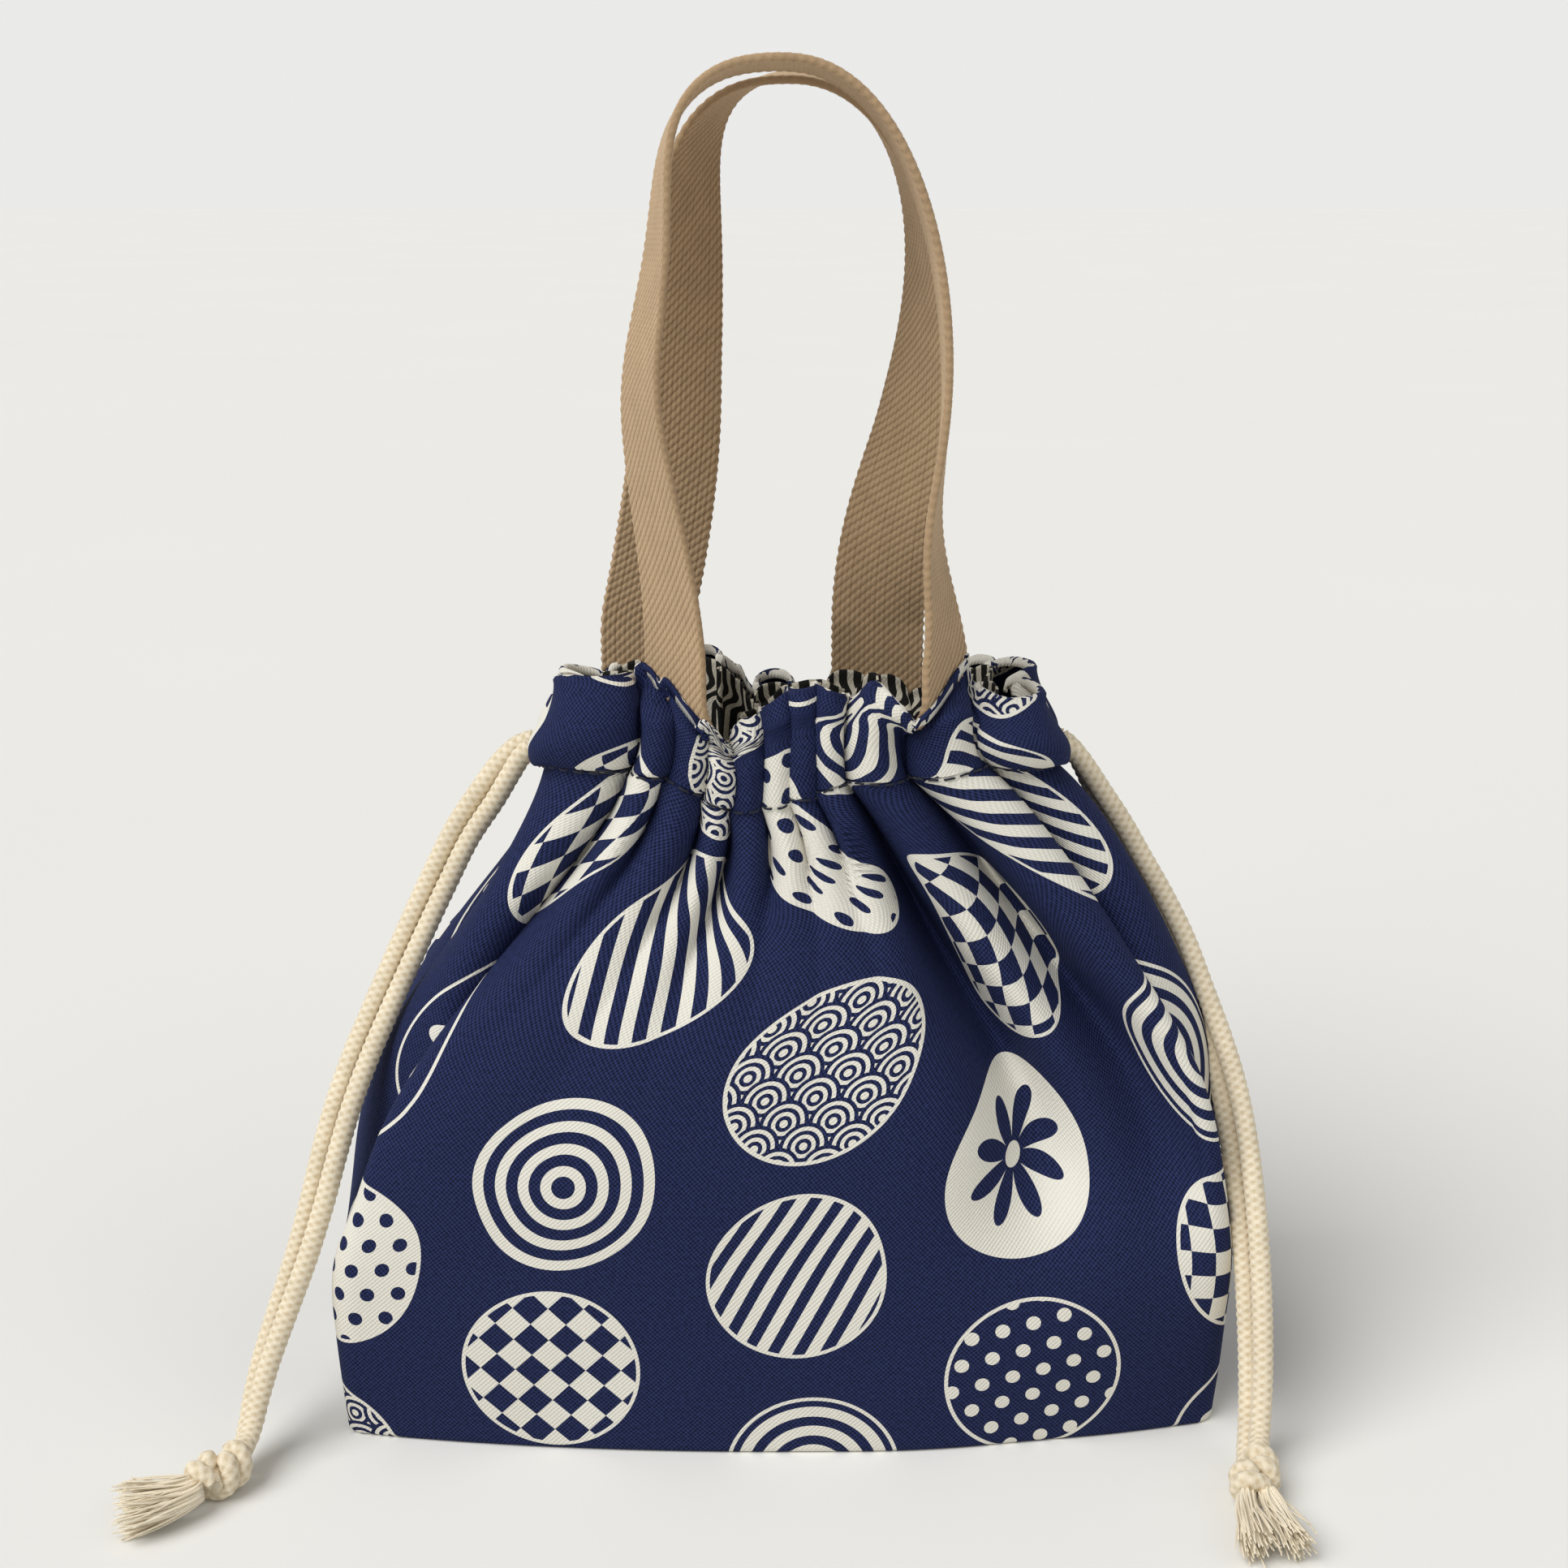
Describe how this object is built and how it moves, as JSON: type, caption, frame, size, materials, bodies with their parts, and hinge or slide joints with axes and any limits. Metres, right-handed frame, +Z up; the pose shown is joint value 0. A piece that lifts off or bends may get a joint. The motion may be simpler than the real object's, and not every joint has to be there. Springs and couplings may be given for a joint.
{
  "type": "drawstring lunch bag",
  "caption": "Boxed canvas lunch bag with a lining, a gathered mouth drawn by cords in a stitched casing, and swinging webbing carry handles.",
  "frame": {"origin": "on the floor under the middle of the base", "axes": "+X to the right along the wide side, +Y from the front to the back, +Z up"},
  "size_m": [0.2915, 0.1715, 0.3505],
  "materials": {
    "printed_canvas": "navy cotton canvas with an off-white print",
    "striped_lining": "black and cream striped plain-weave cotton",
    "webbing": "tan twill-woven cotton webbing",
    "cotton_cord": "cream braided cotton cord"
  },
  "bodies": {
    "bag": {"outer_front_panel": "printed_canvas", "outer_back_panel": "printed_canvas", "lining_front_panel": "striped_lining", "lining_back_panel": "striped_lining", "front_handle_left_tab": "webbing", "front_handle_right_tab": "webbing", "back_handle_left_tab": "webbing", "back_handle_right_tab": "webbing", "left_drawcord_casing_run": "cotton_cord", "right_drawcord_casing_run": "cotton_cord"},
    "front_handle": {"front_handle_strap": "webbing"},
    "back_handle": {"back_handle_strap": "webbing"},
    "left_drawcord": {"left_drawcord_front_strand": "cotton_cord", "left_drawcord_back_strand": "cotton_cord", "left_drawcord_knot": "cotton_cord", "left_drawcord_tassel": "cotton_cord"},
    "right_drawcord": {"right_drawcord_front_strand": "cotton_cord", "right_drawcord_back_strand": "cotton_cord", "right_drawcord_knot": "cotton_cord", "right_drawcord_tassel": "cotton_cord"}
  },
  "joints": [
    {"name": "front_handle_swing", "type": "hinge", "parent": "bag", "child": "front_handle", "pos_m": [0, -0.0232, 0.2043], "axis": [1, 0, 0], "range_deg": [0, 110]},
    {"name": "back_handle_swing", "type": "hinge", "parent": "bag", "child": "back_handle", "pos_m": [0, 0.0232, 0.2043], "axis": [-1, 0, 0], "range_deg": [0, 110]},
    {"name": "left_drawcord_pull", "type": "slide", "parent": "bag", "child": "left_drawcord", "axis": [-1, 0, 0], "range_m": [0, 0.07]},
    {"name": "right_drawcord_pull", "type": "slide", "parent": "bag", "child": "right_drawcord", "axis": [1, 0, 0], "range_m": [0, 0.07]}
  ]
}
